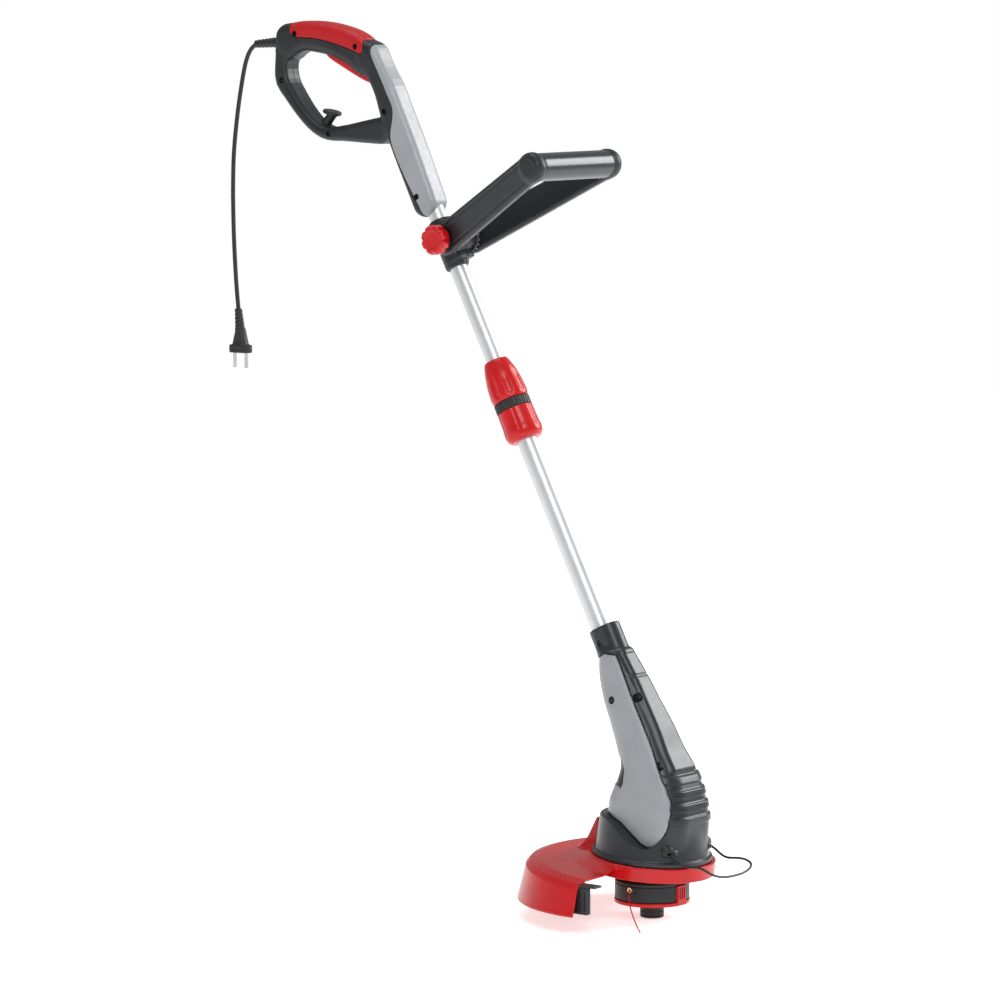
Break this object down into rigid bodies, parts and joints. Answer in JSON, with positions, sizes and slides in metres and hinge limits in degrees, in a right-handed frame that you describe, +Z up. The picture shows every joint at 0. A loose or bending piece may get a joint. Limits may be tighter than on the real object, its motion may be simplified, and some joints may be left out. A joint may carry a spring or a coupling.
{
  "type": "string trimmer",
  "caption": "Corded string trimmer with a rear loop handle, tilting front handle, telescopic shaft, guarded motor head and tap-feed line spool.",
  "frame": {"origin": "centre of the tap button's lower face, on the axis of the line spool", "axes": "+Z up along the spool's axis, +X forward away from the operator, +Y to the operator's left; the shaft lies in the plane y = 0 and leans back"},
  "size_m": [0.7891, 0.3148, 1.0668],
  "materials": {
    "dark_shell": "fine textured moulded plastic",
    "grey_cover": "satin silver-grey plastic",
    "red_plastic": "glossy moulded plastic",
    "red_soft": "soft over-moulded grip",
    "black_plastic": "moulded plastic",
    "cord_rubber": "smooth flexible sheath",
    "tube_metal": "satin anodised",
    "steel": "zinc plated",
    "dark_steel": "black coated wire",
    "brass": "plain",
    "copper_winding": "lacquered winding",
    "pale_plastic": "natural nylon",
    "line_nylon": "extruded nylon"
  },
  "bodies": {
    "handle_unit": {"handle_shell_right": "dark_shell", "handle_shell_left": "dark_shell", "grip_insert": "red_soft", "handle_cover": "grey_cover", "cable_hook": "black_plastic", "strain_relief": "cord_rubber", "cord": "cord_rubber", "plug_body": "cord_rubber", "plug_pins": "steel", "switch_body": "black_plastic", "trigger_pin": "steel", "trigger_spring": "steel", "handle_screws": "dark_steel", "upper_tube": "tube_metal", "guide_bush": "pale_plastic", "handle_bracket": "black_plastic", "ratchet_discs": "dark_shell", "clamp_bolt": "steel"},
    "trigger_lever": {"trigger": "red_plastic"},
    "loop_handle": {"front_handle": "black_plastic"},
    "clamp_knob": {"handle_knob": "red_plastic", "knob_nut": "brass"},
    "motor_unit": {"lower_tube": "tube_metal", "clamp_sleeve": "red_plastic", "clamp_band": "black_plastic", "housing_right": "dark_shell", "housing_left": "dark_shell", "side_cover_right": "grey_cover", "side_cover_left": "grey_cover", "housing_screws": "dark_steel", "motor_stator": "steel", "motor_frame": "steel", "motor_bearings": "steel", "brush_holders": "brass", "guard": "red_plastic", "guard_screws": "steel", "line_cutter": "black_plastic", "wire_bosses": "black_plastic"},
    "shaft_nut": {"clamp_nut": "red_plastic"},
    "spinning_head": {"motor_shaft": "steel", "armature": "copper_winding", "cooling_fan": "pale_plastic", "spool_housing": "black_plastic", "spool_cap": "red_plastic", "line_eyelet": "brass", "cutting_line": "line_nylon", "reel_spring": "steel"},
    "feed_button": {"tap_button": "black_plastic", "line_reel": "pale_plastic", "wound_line": "line_nylon"},
    "wire_guard": {"plant_guard": "dark_steel"}
  },
  "joints": [
    {"name": "trigger_press", "type": "hinge", "parent": "handle_unit", "child": "trigger_lever", "pos_m": [-0.49235, 0, 1.03063], "axis": [0, -1, 0], "range_deg": [0, 8], "stiffness_Nm_per_rad": 1.2, "springref_deg": -20.05},
    {"name": "front_handle_tilt", "type": "hinge", "parent": "handle_unit", "child": "loop_handle", "pos_m": [-0.2958, 0, 0.80381], "axis": [0, 1, 0], "range_deg": [-40, 60]},
    {"name": "knob_turn", "type": "hinge", "parent": "handle_unit", "child": "clamp_knob", "pos_m": [-0.2958, 0, 0.80381], "axis": [0, 1, 0], "range_deg": [0, 360]},
    {"name": "shaft_length", "type": "slide", "parent": "handle_unit", "child": "motor_unit", "axis": [-0.4587, 0, 0.8886], "range_m": [-0.08, 0.1]},
    {"name": "shaft_nut_turn", "type": "hinge", "parent": "motor_unit", "child": "shaft_nut", "pos_m": [-0.21423, 0, 0.60959], "axis": [-0.4587, 0, 0.8886], "range_deg": [0, 90]},
    {"name": "head_spin", "type": "hinge", "parent": "motor_unit", "child": "spinning_head", "pos_m": [0, 0, 0], "axis": [0, 0, 1], "continuous": true},
    {"name": "line_feed", "type": "slide", "parent": "spinning_head", "child": "feed_button", "axis": [0, 0, 1], "range_m": [0, 0.006], "stiffness_N_per_m": 900, "springref_m": -0.005, "deforming": ["reel_spring"]},
    {"name": "plant_guard_fold", "type": "hinge", "parent": "motor_unit", "child": "wire_guard", "pos_m": [0.056, 0, 0.088], "axis": [0, 1, 0], "range_deg": [-90, 0]}
  ]
}
